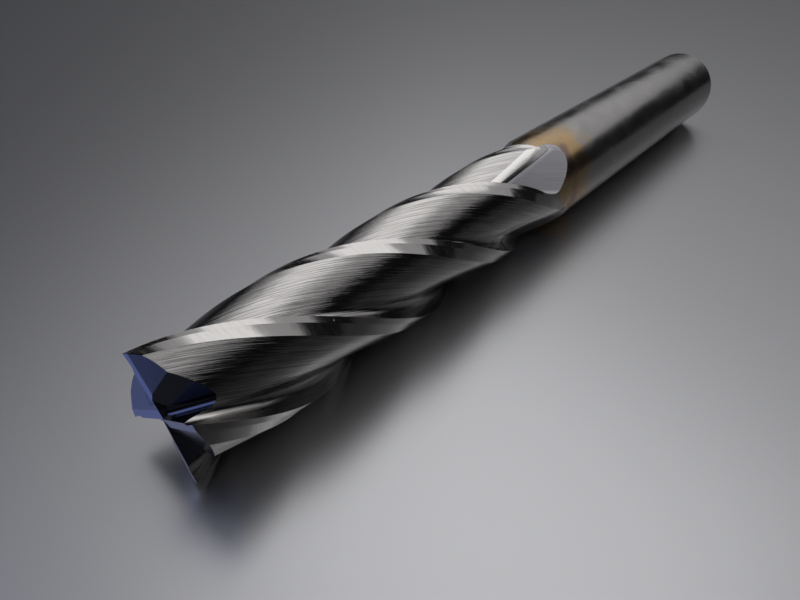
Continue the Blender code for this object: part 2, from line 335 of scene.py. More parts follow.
def arc_points(centre, radius, start, end, steps):
    angles = np.linspace(start, end, steps + 1)
    return np.stack([centre[0] + radius * np.cos(angles), centre[1] + radius * np.sin(angles)], 1)


def straight_points(start, end, steps):
    return start + (end - start) * np.linspace(0.0, 1.0, steps + 1)[:, None]


def way_around(ring):
    """How far around a ring each of its points lies, and the first one again at the end."""
    steps = np.diff(np.vstack([ring, ring[:1]]), axis=0)
    return np.append(0.0, np.cumsum(np.linalg.norm(steps, axis=1)))


def turned_about_z(points, angles):
    x = points[..., 0] * np.cos(angles) - points[..., 1] * np.sin(angles)
    y = points[..., 0] * np.sin(angles) + points[..., 1] * np.cos(angles)
    return x, y


def turned_about(points, centre, axis, angle):
    """Points turned by an angle about an axis through a centre, by Rodrigues' formula."""
    arm = points - centre
    spin = np.cross(axis, arm)
    flat = (arm @ axis)[..., None] * axis
    return centre + arm * np.cos(angle) + spin * np.sin(angle) + flat * (1.0 - np.cos(angle))


# How far a cutter reaches past the surface that it cuts through.
CLEAR = 0.0010
EDGE_OVERRUN = 0.0006
HEEL_OVERRUN = 0.0010
RELIEF_OVERRUN = 0.00035
RUNOUT_MARGIN = 1.25
SEAM = 0.00002

# How far a ring turns from the last one at the coarsest, in degrees, and how many steps a cutter's roof has.
COARSE_TURN = 9.0
ROOF_STEPS = 6

# How many steps the other stretches have at the coarsest: across a flute, over its dwell mark and past it,
# where a relief runs out, and in a gash's corner. Then how many sides the blank has.
FACE_STEPS, GULLET_STEPS, BACK_STEPS = 2, 4, 7
RISE_STEPS, CREST_STEPS, RUNOUT_STEPS = 3, 2, 9
FADE_STEPS, CORNER_STEPS = 3, 4
BLANK_SIDES = 90


def relief_line(s):
    """The land's two flats across the tool: ahead of the edge, the step between them, and the way on."""
    slope = np.array([math.tan(s.primary_relief), 1.0])
    edge = np.array([s.cutting / 2, 0.0])
    onward = np.array([-math.tan(s.secondary_relief), -1.0])
    return edge + slope * CLEAR, edge - slope * s.primary_land, onward


def heel_radius(s):
    """Where the second flat has come down to at the heel."""
    _, step, way = relief_line(s)
    ray = np.array([math.cos(-s.land), math.sin(-s.land)])
    t = (step[0] * ray[1] - step[1] * ray[0]) / (way[1] * ray[0] - way[0] * ray[1])
    return math.hypot(*(step + way * t))


def flute_line(s, fine):
    """The flute across the tool: a hooked straight face, a hollow arc at the core, and a bulging arc.

    The edge lies on +X. The hollow circle touches the face and the core. The bulging circle touches the
    hollow one from inside the tooth ahead and passes through its heel.
    """
    inward = np.array([-math.cos(s.hook), -math.sin(s.hook)])
    across = np.array([-math.sin(s.hook), math.cos(s.hook)])
    edge = np.array([s.cutting / 2, 0.0])
    start = edge + across * s.gullet
    reach = s.core / 2 + s.gullet
    half = start @ inward
    gullet = start + inward * (-half - math.sqrt(half * half - start @ start + reach * reach))
    heel_angle = math.tau / s.flutes - s.land
    heel = heel_radius(s) * np.array([math.cos(heel_angle), math.sin(heel_angle)])
    span = heel - gullet
    distance = math.hypot(*span)
    outer = s.back + s.gullet
    onward = (outer**2 - s.back**2 + distance**2) / (2 * distance)
    unit = span / distance
    back = gullet + unit * onward + np.array([-unit[1], unit[0]]) * math.sqrt(outer**2 - onward**2)
    towards_face = math.atan2(-across[1], -across[0]) % math.tau
    towards_back = math.atan2(*(back - gullet)[::-1]) % math.tau
    bottom = arc_points(gullet, s.gullet, towards_face, towards_back, GULLET_STEPS * fine)
    leave, arrive = math.atan2(*(gullet - back)[::-1]), math.atan2(*(heel - back)[::-1])
    climb = arc_points(back, s.back, leave, arrive, BACK_STEPS * fine)
    face = straight_points(edge - inward * EDGE_OVERRUN, bottom[0], FACE_STEPS * fine)
    past_heel = heel + np.array([-math.sin(arrive), math.cos(arrive)]) * HEEL_OVERRUN
    return np.vstack([face, bottom[1:], climb[1:], past_heel])


def closed_by_roof(line, radius, steps):
    """A line across the tool, joined from its end back to its start by an arc outside the tool."""
    angles = np.arctan2(line[:, 1], line[:, 0])
    roof = arc_points(np.zeros(2), radius, angles[-1], angles[0], steps)
    return np.vstack([line, roof]), [0, *range(len(line) - 1, len(line) + steps + 1)]


def helix_turn(s, z):
    """How far the helix has turned at height z, counted from the tip."""
    return 2.0 * (z - s.length) * math.tan(s.helix) / s.cutting


# The dwell mark across itself, in metres before and after its last line, and as shares of its height.
DWELL_PLACES = (-0.0031, -0.0010, 0.0, 0.0002, 0.00045)
DWELL_HEIGHTS = (0.0, 1.0, 0.0, -0.25, 0.0)


def flute_pass(s, edge_angle, name, materials, fine):
    """The wheel's sweep: the flute's line screwed up the helix, then turned out about the wheel's own axle.

    A point has passed the contact line by so much, counted along the flute. The rings follow the dwell mark,
    which lies aslant to that line: its place is a straight function of the angle around the tool. The mark
    is a low ridge with a sharp crest, laid along the surface's own direction.
    """
    line = flute_line(s, fine)
    ring, breaks = closed_by_roof(line, s.shank / 2 + 3 * CLEAR, ROOF_STEPS)
    ring_angles = np.arctan2(ring[:, 1], ring[:, 0])
    part = np.clip(ring_angles / (math.tau / s.flutes - s.land), 0.0, 1.0)
    bottom = s.length - s.flute_length - s.contact_slant * part
    shift = s.dwell_slant * part - s.dwell_lead

    # The end of the helix, which the wheel's axle stands over.
    x, y = turned_about_z(ring, edge_angle + helix_turn(s, bottom))
    last = np.stack([x, y, bottom], 1)
    contact = last[int(np.argmin(np.hypot(ring[:, 0], ring[:, 1])))]
    outward = np.array([contact[0], contact[1], 0.0]) / math.hypot(contact[0], contact[1])
    sideways = np.array([outward[1], -outward[0], 0.0])
    travel = sideways * math.sin(s.helix) - np.array([0.0, 0.0, math.cos(s.helix)])
    centre, axle = contact + outward * s.wheel, np.cross(outward, travel)
    sweep = math.acos(1.0 - (s.shank / 2 - s.core / 2 + CLEAR) / s.wheel) * RUNOUT_MARGIN

    # How far each ring has passed the mark's last line: wide steps, then close ones over the mark.
    start = -(s.flute_length + 2 * CLEAR + s.contact_slant) / math.cos(s.helix) - s.dwell_slant
    step = math.radians(COARSE_TURN / fine) * s.cutting / 2 / math.sin(s.helix)
    first, crest, end = DWELL_PLACES[:3]
    places = np.concatenate(
        [
            np.linspace(start, first, math.ceil((first - start) / step), endpoint=False),
            np.linspace(first, crest, RISE_STEPS * fine, endpoint=False),
            np.linspace(crest, end, CREST_STEPS * fine, endpoint=False),
            np.linspace(end, DWELL_PLACES[-1], fine, endpoint=False),
            np.linspace(DWELL_PLACES[-1], sweep * s.wheel + s.dwell_lead, RUNOUT_STEPS * fine),
        ]
    )
    passed = places[:, None] + shift
    heights = bottom - passed * math.cos(s.helix)
    x, y = turned_about_z(np.broadcast_to(ring, heights.shape + (2,)), edge_angle + helix_turn(s, heights))
    down = np.stack([x, y, heights], 2)
    out = turned_about(last, centre, axle, -passed[..., None] / s.wheel)
    rings = np.where(passed[..., None] < 0.0, down, out)

    stops = [int(np.argmin(np.abs(places - place))) for place in (crest, end)]
    rise = np.interp(places, DWELL_PLACES, np.array(DWELL_HEIGHTS) * s.dwell_rise)
    directions = corner_directions(rings, breaks, ())
    at_points = np.concatenate([directions[:, :, 0], directions[-1:, :, 3]])
    inner = np.hypot(rings[..., 0], rings[..., 1]) < s.shank / 2 + CLEAR
    sense = np.sign(np.sum(at_points[0] * (rings[0].mean(0) - rings[0]), -1).sum())
    rings = rings + at_points * (sense * rise[:, None] * inner)[..., None]

    across = np.broadcast_to(way_around(ring), (len(rings), len(ring) + 1))
    along = np.hstack([passed, passed[:, :1]])
    slack = (crest - first) / 1e6
    kinds = np.where(places < first + slack, 0, np.where(places < end - slack, 1, 2)).astype(np.int32)
    return Pass(name, rings, breaks, stops, across, along, materials, kinds)


def relief_pass(s, edge_angle, name, materials, fine):
    """The land's two flats carried down the helix, and lifted off along a parabola where the relief ends."""
    ahead, step, way = relief_line(s)
    width = s.cutting / 2 * s.land - s.primary_land
    line = np.vstack(
        [
            straight_points(ahead, step, fine),
            straight_points(step, step + way * (width + RELIEF_OVERRUN), fine + 1)[1:],
        ]
    )
    ring, breaks = closed_by_roof(line, s.cutting / 2 + CLEAR, ROOF_STEPS)
    breaks.append(fine)
    top, bottom = s.length + CLEAR, s.length - s.relief_length
    turned = abs(helix_turn(s, top) - helix_turn(s, bottom))
    steps = math.ceil(turned / math.radians(COARSE_TURN / fine))
    fade = np.linspace(0.0, 1.0, FADE_STEPS * fine + 1)[1:]
    heights = np.append(np.linspace(top, bottom, steps + 1), bottom - s.relief_fade * fade)
    lift = np.append(np.zeros(steps + 1), s.relief_lift * fade**2)
    radius = np.hypot(ring[:, 0], ring[:, 1])
    grown = ring[None] * (1 + lift[:, None] / radius[None, :])[..., None]
    x, y = turned_about_z(grown, (edge_angle + helix_turn(s, heights))[:, None])
    rings = np.stack([x, y, np.broadcast_to(heights[:, None], x.shape)], 2)
    across = np.broadcast_to(way_around(ring), (len(rings), len(ring) + 1))
    along = np.broadcast_to(heights[:, None] / math.cos(s.helix), across.shape)
    columns = np.zeros((len(rings), len(ring)), np.int32)
    columns[:, fine:] = 1
    return Pass(name, rings, breaks, (), across, along, materials, columns)


# How many stations a nick has, and how fast its floor climbs. Over 1, it leaves the land before its ends.
NICK_STATIONS = 9
NICK_FALL = 1.3


def nick_pass(s, start, end, name, materials):
    """A fine nick: a V carried along a straight line on a land, deepest in its middle by a parabola.

    start and end are given as height, radius and angle around the tool.
    """
    ends = np.array([(r * math.cos(turn), r * math.sin(turn), z) for z, r, turn in (start, end)])
    along = np.linspace(-1.0, 1.0, NICK_STATIONS)
    depth = s.nick_depth * (1.0 - NICK_FALL * along**2)
    way = (ends[1] - ends[0]) / 2
    middle = ends.mean(0)
    out = np.array([middle[0], middle[1], 0.0]) / math.hypot(middle[0], middle[1])
    aside = np.cross(out, way) / np.linalg.norm(np.cross(out, way))
    top = 2 * s.nick_depth
    half = (top + depth) * s.nick_width / 2 / s.nick_depth
    spine = middle + along[:, None] * way
    rings = np.stack(
        [
            spine + out * top + aside * half[:, None],
            spine - out * depth[:, None],
            spine + out * top - aside * half[:, None],
        ],
        1,
    )
    unmapped = np.zeros((len(rings), 4))
    return Pass(name, rings, range(3), (), unmapped, unmapped, materials)


def at_tip(s, points, edge_angle):
    """Points that were laid out with the edge along +X and the tip at the origin, put in their place."""
    x, y = turned_about_z(points, edge_angle)
    return np.stack([x, y, points[..., 2] + s.length], -1)


def end_relief_pass(s, edge_angle, name, materials):
    """The two flats behind an end tooth's edge, which dips towards the centre by the dish angle."""
    outside = s.cutting / 2 + CLEAR
    step = -s.end_primary * math.tan(s.end_primary_relief)
    flats = np.array(
        [
            (CLEAR, CLEAR * math.tan(s.end_primary_relief)),
            (-s.end_primary, step),
            (-outside, step - (outside - s.end_primary) * math.tan(s.end_secondary_relief)),
            (-outside, 2 * CLEAR),
            (CLEAR, 2 * CLEAR),
        ]
    )
    far = np.array([SEAM, outside])
    edge = -(s.cutting / 2 - far) * math.tan(s.dish)
    drop = np.where(np.arange(len(flats)) < 3, 1.0, 0.0)
    rings = np.empty((2, len(flats), 3))
    rings[..., 0] = far[:, None]
    rings[..., 1] = flats[:, 0]
    rings[..., 2] = flats[:, 1] + edge[:, None] * drop
    across = np.broadcast_to(way_around(flats), (2, len(flats) + 1))
    along = np.broadcast_to(far[:, None], across.shape)
    columns = np.broadcast_to(np.array([0, 1, 1, 1, 1], np.int32), (2, len(flats)))
    placed = at_tip(s, rings, edge_angle)
    return Pass(name, placed, range(len(flats)), (), across, along, materials, columns)


def gash_pass(s, edge_angle, start, depth, name, materials, fine):
    """The notch in front of an end tooth: a raked face and a sloping floor, with an arc that touches both."""
    outside = s.cutting / 2 + CLEAR
    far = np.array([start, outside])
    floor = -depth - (far - start) * math.tan(s.gash_slope)
    up = floor + s.gash_corner / math.cos(s.gash_rise)
    rake, rise = math.tan(s.gash_rake), math.tan(s.gash_rise)
    aside = (up * rake + s.gash_corner / math.cos(s.gash_rake)) / (1 - rake * rise)
    start_turn, end_turn = math.pi + s.gash_rake, 1.5 * math.pi + s.gash_rise
    arc = arc_points(np.zeros(2), s.gash_corner, start_turn, end_turn, CORNER_STEPS * fine)
    count = len(arc) + 3
    rings = np.empty((2, count, 3))
    rings[..., 0] = far[:, None]
    rings[:, 0, 1:] = outside * rake, outside
    rings[:, 1:-2, 1] = aside[:, None] + arc[:, 0]
    rings[:, 1:-2, 2] = (up + aside * rise)[:, None] + arc[:, 1]
    rings[:, -2, 1] = outside
    rings[:, -2, 2] = floor + outside * rise
    rings[:, -1, 1:] = outside
    across = np.broadcast_to(way_around(rings[0]), (2, count + 1))
    along = np.broadcast_to(far[:, None], across.shape)
    return Pass(name, at_tip(s, rings, edge_angle), [0, count - 2, count - 1], (), across, along, materials)


# The blank's rings: how far the close ones reach from the neck, their spacing, and where the wide
# ones start and end and how many they are.
WARM_LENGTH, WARM_STEP = 0.0140, 0.0004
COOL_START, COOL_END, COOL_RINGS = 0.004, 0.002, 8


def blank_pass(s, materials, sides):
    """The turned rod: a profile of chamfer, shank, neck and cutting end, turned about Z.

    The rings lie close together where the heat tint is, so that it can follow the scoops.
    """
    blank = s.cutting / 2 + s.stock
    neck = s.length - s.relief_length - s.relief_fade - s.neck
    warm = np.arange(neck - s.neck - WARM_LENGTH, neck - s.neck, WARM_STEP)
    cool = np.linspace(COOL_START, warm[0] - COOL_END, COOL_RINGS)
    heights = np.concatenate([[0.0, s.chamfer], cool, warm, [neck - s.neck, neck, s.length]])
    radii = np.full(len(heights), s.shank / 2)
    radii[0] -= s.chamfer
    radii[-2:] = blank
    turn = np.linspace(0.0, math.tau, sides + 1)
    rings = np.empty((len(heights), sides, 3))
    rings[..., 0] = radii[:, None] * np.cos(turn[:-1])
    rings[..., 1] = radii[:, None] * np.sin(turn[:-1])
    rings[..., 2] = heights[:, None]
    across = np.broadcast_to(turn * s.shank / 2, (len(heights), sides + 1))
    along = np.broadcast_to(heights[:, None], across.shape)
    stops = (1, len(heights) - 3, len(heights) - 2)
    return Pass("end_mill_ground", rings, (), stops, across, along, materials)


# Materials.


SMOOTH = {"interpolation_type": "SMOOTHSTEP"}
ADD = {"operation": "ADD"}
TIMES = {"operation": "MULTIPLY"}
COLOURS = {"data_type": "RGBA"}
MIXED_COLOUR = 2
# Where a noise's values mostly lie.
MIDDLE = {"From_Min": 0.3, "From_Max": 0.7}


def fill(tree, node, **inputs):
    """Links or sets a node's inputs, given by name, or by number after an underscore."""
    for name, value in inputs.items():
        socket = node.inputs[int(name[1:]) if name[0] == "_" else name.replace("_", " ")]
        if isinstance(value, bpy.types.NodeSocket):
            tree.links.new(value, socket)
        else:
            socket.default_value = value


def add_node(tree, kind, settings=(), output=0, **inputs):
    """Adds a node with its settings and links, and gives back the output that is wanted."""
    node = tree.nodes.new("ShaderNode" + kind)
    for name, value in dict(settings).items():
        setattr(node, name, value)
    fill(tree, node, **inputs)
    return node.outputs[output]


def new_material(name, colour_value, roughness):
    material = bpy.data.materials.new(name)
    material.use_nodes = True
    tree = material.node_tree
    shader = tree.nodes["Principled BSDF"]
    fill(tree, shader, Base_Color=(*colour_value, 1.0), Metallic=1.0, Roughness=roughness)
    return material, tree, shader


def shaded(colour_value, level):
    """A colour made darker by a level, with the fourth number that a colour socket takes."""
    return (*(level * np.array(colour_value)).tolist(), 1.0)


def ground_lines(tree, across_mm, along_mm, turn=0.0, detail=2.0, rough=0.55):
    """A field of short straight lines: noise that is fine across the grinding and long along it."""
    place = add_node(tree, "UVMap", {"uv_map": "grinding"})
    turned = add_node(tree, "Mapping", Vector=place, Rotation=(0.0, 0.0, turn))
    scaled = add_node(tree, "Mapping", Vector=turned, Scale=(1.0 / across_mm, 1.0 / along_mm, 1.0))
    return add_node(tree, "TexNoise", Vector=scaled, Scale=1.0, Detail=detail, Roughness=rough)


def wheel_ground_flute(finish):
    """Tungsten carbide ground with a coarse diamond wheel. Bright, with lines of grit along the helix.

    The eye sees fine lines along the helix at mixed spacings, broader bands, and short marks across them
    where the wheel chattered. The real lines lie some 0.02 mm apart, too fine to show, so they are drawn
    coarser. The lines spread a highlight across themselves, which the uneven gloss gives.
    """
    material, tree, shader = new_material("wheel_ground_carbide", finish.carbide, finish.flute_roughness)
    spacing = finish.line_spacing * MILLIMETRES
    reach = finish.line_length * MILLIMETRES
    lines = ground_lines(tree, spacing, reach, detail=3.0, rough=0.65)
    bands = ground_lines(tree, spacing * 4, reach * 3, detail=1.0)
    chatter = ground_lines(tree, spacing * 4, finish.chatter_spacing * MILLIMETRES, detail=1.0)
    patches = ground_lines(tree, 1.8, 3.0, detail=0.0)
    where = add_node(tree, "MapRange", SMOOTH, Value=patches, From_Min=0.50, From_Max=0.66)
    marks = add_node(tree, "Math", TIMES, _0=chatter, _1=where)
    bump = add_node(tree, "Bump", Height=lines, Distance=0.000022)
    bump = add_node(tree, "Bump", Height=bands, Distance=0.000016, Normal=bump)
    bump = add_node(tree, "Bump", Height=marks, Distance=0.000008, Normal=bump)
    low, high = finish.flute_roughness - 0.05, finish.flute_roughness + 0.06
    gloss = add_node(tree, "MapRange", SMOOTH, Value=lines, **MIDDLE, To_Min=low, To_Max=high)
    bright = add_node(tree, "MapRange", SMOOTH, Value=lines, From_Min=0.40, From_Max=0.58)
    dark, light = shaded(finish.carbide, 0.62), shaded(finish.carbide, 1.0)
    tone = add_node(tree, "Mix", COLOURS, MIXED_COLOUR, _0=bright, _6=dark, _7=light)
    tangent = add_node(tree, "Tangent", {"direction_type": "UV_MAP", "uv_map": "grinding"})
    fill(tree, shader, Base_Color=tone, Roughness=gloss, Normal=bump, Tangent=tangent, Anisotropic=0.5)
    return material


def burnished_mark(finish):
    """Carbide that the dwelling wheel rubbed before it lifted. Nearly a mirror, with faint lines along it."""
    material, tree, shader = new_material("burnished_carbide", finish.burnished, finish.land_roughness)
    lines = ground_lines(tree, 0.12, 5.0, detail=2.0)
    bump = add_node(tree, "Bump", Height=lines, Distance=0.000005)
    fill(tree, shader, Normal=bump)
    return material


def satin_scoop(finish):
    """Carbide where the lifting wheel only brushed it. Satin and paler, with faint straight lines."""
    material, tree, shader = new_material("satin_ground_carbide", finish.satin, finish.scoop_roughness)
    lines = ground_lines(tree, 0.14, 9.0, detail=3.0)
    clouds = ground_lines(tree, 0.9, 1.6, detail=2.0)
    bump = add_node(tree, "Bump", Height=lines, Distance=0.0000050)
    bump = add_node(tree, "Bump", Height=clouds, Distance=0.000005, Normal=bump)
    bright = add_node(tree, "MapRange", SMOOTH, Value=lines, From_Min=0.35, From_Max=0.65)
    dark, light = shaded(finish.satin, 0.86), shaded(finish.satin, 1.0)
    tone = add_node(tree, "Mix", COLOURS, MIXED_COLOUR, _0=bright, _6=dark, _7=light)
    tangent = add_node(tree, "Tangent", {"direction_type": "UV_MAP", "uv_map": "grinding"})
    fill(tree, shader, Base_Color=tone, Normal=bump, Tangent=tangent, Anisotropic=0.35)
    return material


def relief_ground_land(finish, name, spacing_mm, depth):
    """Carbide relief-ground with a fine cup wheel. Close to a mirror, with faint marks across the land."""
    material, tree, shader = new_material(name, finish.carbide, finish.land_roughness)
    marks = ground_lines(tree, 1.5, spacing_mm)
    lines = ground_lines(tree, 0.09, 4.0)
    bump = add_node(tree, "Bump", Height=marks, Distance=depth)
    bump = add_node(tree, "Bump", Height=lines, Distance=0.0000020, Normal=bump)
    low, high = finish.land_roughness - 0.05, finish.land_roughness + 0.07
    spread = {"From_Min": 0.35, "From_Max": 0.7, "To_Min": low, "To_Max": high}
    gloss = add_node(tree, "MapRange", SMOOTH, Value=marks, **spread)
    fill(tree, shader, Roughness=gloss, Normal=bump)
    return material


def diamond_ground_facet(finish, name, tone, turn):
    """Carbide end teeth ground last with a fine diamond wheel. Clean, with fine straight lines. The tone
    given
    is painted light: a painted blue reflection on the margins and facets, painted shade in the gashes.
    """
    material, tree, shader = new_material(name, tone, finish.facet_roughness)
    lines = ground_lines(tree, 0.07, 2.5, turn=turn)
    bands = ground_lines(tree, 0.35, 4.0, turn=turn, detail=1.0)
    bump = add_node(tree, "Bump", Height=lines, Distance=0.0000016)
    bump = add_node(tree, "Bump", Height=bands, Distance=0.000003, Normal=bump)
    low, high = finish.facet_roughness - 0.04, finish.facet_roughness + 0.06
    gloss = add_node(tree, "MapRange", SMOOTH, Value=bands, **MIDDLE, To_Min=low, To_Max=high)
    fill(tree, shader, Roughness=gloss, Normal=bump)
    return material


# The heat tints fall from a share at one distance from a scoop's rim to nothing at another, in millimetres.
# The last is how far their edges stray either way.
STRAW = {"From_Min": 1.6, "From_Max": 7.0, "To_Min": 0.80, "To_Max": 0.0}
PURPLE = {"From_Min": -0.2, "From_Max": 1.8, "To_Min": 0.70, "To_Max": 0.0}
WANDER = {"From_Min": 0.2, "From_Max": 0.8, "To_Min": -1.8, "To_Max": 1.8}


def centreless_ground_shank(finish):
    """Carbide rod, centreless ground. Satin bright, with fine lines around it, soft clouds and heat tint.

    The heat of grinding leaves purple next to each scoop and straw a little further out. The attribute
    rim_distance gives how far a point lies from the nearest scoop, in millimetres.
    """
    material, tree, shader = new_material("centreless_ground_carbide", finish.carbide, finish.shank_roughness)
    lines = ground_lines(tree, 12.0, 0.12, detail=3.0)
    clouds = ground_lines(tree, 2.6, 4.0, detail=2.0, rough=0.45)
    bump = add_node(tree, "Bump", Height=lines, Distance=0.0000022)
    low, high = finish.shank_roughness - 0.04, finish.shank_roughness + 0.04
    gloss = add_node(tree, "MapRange", SMOOTH, Value=clouds, **MIDDLE, To_Min=low, To_Max=high)
    cloudy = add_node(tree, "MapRange", SMOOTH, Value=clouds, **MIDDLE)
    dark, light = shaded(finish.carbide, 0.86), shaded(finish.carbide, 1.0)
    bare = add_node(tree, "Mix", COLOURS, MIXED_COLOUR, _0=cloudy, _6=dark, _7=light)
    rim = add_node(tree, "Attribute", {"attribute_name": "rim_distance"}, "Fac")
    wander = ground_lines(tree, 3.4, 3.0, detail=1.0)
    wander = add_node(tree, "MapRange", SMOOTH, Value=wander, **WANDER)
    far = add_node(tree, "Math", ADD, _0=rim, _1=wander)
    warmth = add_node(tree, "MapRange", SMOOTH, Value=far, **STRAW)
    scorch = add_node(tree, "MapRange", SMOOTH, Value=far, **PURPLE)
    straw = add_node(tree, "Mix", COLOURS, MIXED_COLOUR, _0=warmth, _6=bare, _7=shaded(finish.straw, 1.0))
    purple = add_node(tree, "Mix", COLOURS, MIXED_COLOUR, _0=scorch, _6=straw, _7=shaded(finish.purple, 1.0))
    fill(tree, shader, Base_Color=purple, Roughness=gloss, Normal=bump)
    return material


# The tool.


def take_away(target, cutter):
    step = target.modifiers.new(cutter.name, "BOOLEAN")
    step.operation = "DIFFERENCE"
    step.solver = "MANIFOLD"
    step.material_mode = "TRANSFER"
    step.object = cutter


def read_values(items, field, kind):
    values = np.empty(len(items), kind)
    items.foreach_get(field, values)
    return values


def read_vectors(items, field):
    values = np.empty(len(items) * 3, np.float32)
    items.foreach_get(field, values)
    return values.reshape(-1, 3)


# How much of a scoop's rim, from its end, took the heat. The distance given to points off the shank, in
# metres, and how many points are measured at once.
HOT_LENGTH = 0.0015
FAR_FROM_RIM = 1.0
POINTS_AT_ONCE = 2000


def mark_rim_distance(mesh, shank_slot, scoop_slot):
    """Gives each point its distance in millimetres from the end of a scoop's rim, which ran hottest."""
    points = read_vectors(mesh.vertices, "co")
    corners = read_values(mesh.loops, "vertex_index", np.int32)
    counts = read_values(mesh.polygons, "loop_total", np.int32)
    corner_kinds = np.repeat(read_values(mesh.polygons, "material_index", np.int32), counts)
    on_shank = np.zeros(len(points), bool)
    on_scoop = np.zeros(len(points), bool)
    on_shank[corners[corner_kinds == shank_slot]] = True
    on_scoop[corners[corner_kinds == scoop_slot]] = True
    rim = points[on_shank & on_scoop]
    rim = rim[rim[:, 2] < rim[:, 2].min() + HOT_LENGTH]
    distance = np.full(len(points), FAR_FROM_RIM, np.float32)
    shank = np.flatnonzero(on_shank)
    for part in np.array_split(shank, max(1, len(shank) // POINTS_AT_ONCE)):
        gaps = np.linalg.norm(points[part][:, None] - rim[None], axis=-1)
        distance[part] = gaps.min(1)
    layer = mesh.attributes.new("rim_distance", "FLOAT", "POINT")
    layer.data.foreach_set("value", (distance * MILLIMETRES).astype(np.float32))


# Fine nicks in the lands. For each end: its distance from the tip, its radius, its flute and its angle there.
NICKS = (
    ((0.0118, 0.00546, 3, 82.7), (0.0116, 0.00540, 3, 73.4)),
    ((0.0135, 0.00549, 3, 88.8), (0.0134, 0.00548, 3, 85.5)),
    ((0.0272, 0.00548, 0, 84.1), (0.0270, 0.00541, 0, 73.0)),
    ((0.0289, 0.00550, 0, 88.9), (0.0288, 0.00547, 0, 83.4)),
)


def nick_place(s, end):
    """A nick's end as height, radius and angle around the tool."""
    below_tip, radius, number, degrees = end
    z = s.length - below_tip
    return z, radius, s.first_edge + math.tau / s.flutes * number + math.radians(degrees) + helix_turn(s, z)


# Fewer faces than this are left only if a grinding pass went wrong.
FEWEST_FACES = 1000


class ENDMILL_OT_grind_tool(bpy.types.Operator):
    """Grinds the end mill from a turned rod, and puts it in place of the CAD solid"""

    bl_idname = "endmill.grind_tool"
    bl_label = "Grind the end mill"

    def execute(self, context):
        s = context.scene.end_mill_sizes
        finish = context.scene.end_mill_finish
        fine = 4
        collection = bpy.data.collections.new("end_mill_looks")
        context.scene.collection.children.link(collection)
        shank = centreless_ground_shank(finish)
        flute = [wheel_ground_flute(finish), burnished_mark(finish), satin_scoop(finish)]
        land = [
            relief_ground_land(finish, "fine_ground_margin", 0.30, 0.000002),
            relief_ground_land(finish, "relief_ground_carbide", 0.22, 0.000004),
        ]
        facet = [
            # The end margins take a painted blue reflection.
            diamond_ground_facet(finish, "margin_painted_blue_reflection", finish.margin, 0.6),
            # The end facets take a painted blue reflection, dimmed.
            diamond_ground_facet(finish, "facet_painted_blue_reflection", finish.facet, 0.6),
        ]
        # The gashes take painted shade: a darker copy of the end facets' tone.
        gash_painted_shade = [diamond_ground_facet(finish, "gash_ground_carbide", finish.gash, 0.0)]
        blank = surface_object(blank_pass(s, [shank], BLANK_SIDES * fine), collection)
        cutters = []
        pitch = math.tau / s.flutes
        for number in range(s.flutes):
            edge = s.first_edge + pitch * number
            gash = (s.short_gash_start, s.short_gash_depth)
            if number % 2:
                gash = (s.centre_gash_start, s.centre_gash_depth)
            cutters += [
                end_relief_pass(s, edge, f"end_relief_{number}", facet),
                gash_pass(s, edge, *gash, f"gash_{number}", gash_painted_shade, fine),
                flute_pass(s, edge, f"flute_{number}", flute, fine),
                relief_pass(s, edge, f"land_relief_{number}", land, fine),
            ]
        for number, ends in enumerate(NICKS):
            start, end = (nick_place(s, given) for given in ends)
            cutters.append(nick_pass(s, start, end, f"nick_{number}", flute[1:2]))
        things = [surface_object(cutter, collection, -1.0) for cutter in cutters]
        for thing in things:
            take_away(blank, thing)
        ground = bpy.data.meshes.new_from_object(blank.evaluated_get(context.evaluated_depsgraph_get()))
        if len(ground.polygons) < FEWEST_FACES:
            raise RuntimeError("the grinding passes left no tool")
        blank.modifiers.clear()
        blank.data = ground
        for thing in things:
            bpy.data.objects.remove(thing, do_unlink=True)
        names = [material.name for material in ground.materials]
        mark_rim_distance(ground, names.index(shank.name), names.index(flute[-1].name))
        ground.shade_smooth()
        directions = read_vectors(ground.attributes["ground_direction"].data, "vector")
        lengths = np.maximum(np.linalg.norm(directions, axis=1, keepdims=True), NO_LENGTH)
        ground.normals_split_custom_set((directions / lengths).tolist())
        ground.attributes.remove(ground.attributes["ground_direction"])
        blank.name = ground.name = "end_mill_ground"
        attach(blank, BODY)
        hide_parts(NODE)
        return {"FINISHED"}


# The bench, the light and the camera.

# The camera's place in metres and its turn about X, Y and Z in degrees, in the row frame. They were fitted to
# the tool's outline in the photograph.
CAMERA_PLACE = (-0.032937, -0.033028, 0.114096)
CAMERA_TURN = (-36.003, 40.058, 179.970)
SENSOR_WIDTH = 36.0
CLIP_RANGE = (0.005, 20.0)


# A satin sheet shows some of its own grey besides what it mirrors.
BENCH_METALLIC = 0.92
BENCH_POINTS = 5


def bench_material(bench):
    """Plain satin aluminium sheet. Mid grey and soft, so that it shows the tool's shadow and blurred image.

    It is clear from behind, where it would hide the tool in the views from below the bench.
    """
    material, tree, shader = new_material("satin_aluminium_sheet", bench.bench, bench.bench_roughness)
    behind = add_node(tree, "NewGeometry", (), "Backfacing")
    clear = add_node(tree, "BsdfTransparent")
    one_sided = add_node(tree, "MixShader", _0=behind, _1=shader.outputs["BSDF"], _2=clear)
    fill(tree, shader, Metallic=BENCH_METALLIC)
    fill(tree, tree.nodes["Material Output"], Surface=one_sided)
    return material


def pale_world(bench):
    """A plain pale world all round. The metal mirrors what the dark screen leaves of it."""
    world = bpy.data.worlds.new("pale_backdrop")
    world.use_nodes = True
    fill(world.node_tree, world.node_tree.nodes["Background"], Color=shaded(bench.backdrop, 1.0))
    return world


def put_on_stage(context, mesh):
    thing = bpy.data.objects.new(mesh.name, mesh)
    context.scene.collection.objects.link(thing)
    return thing


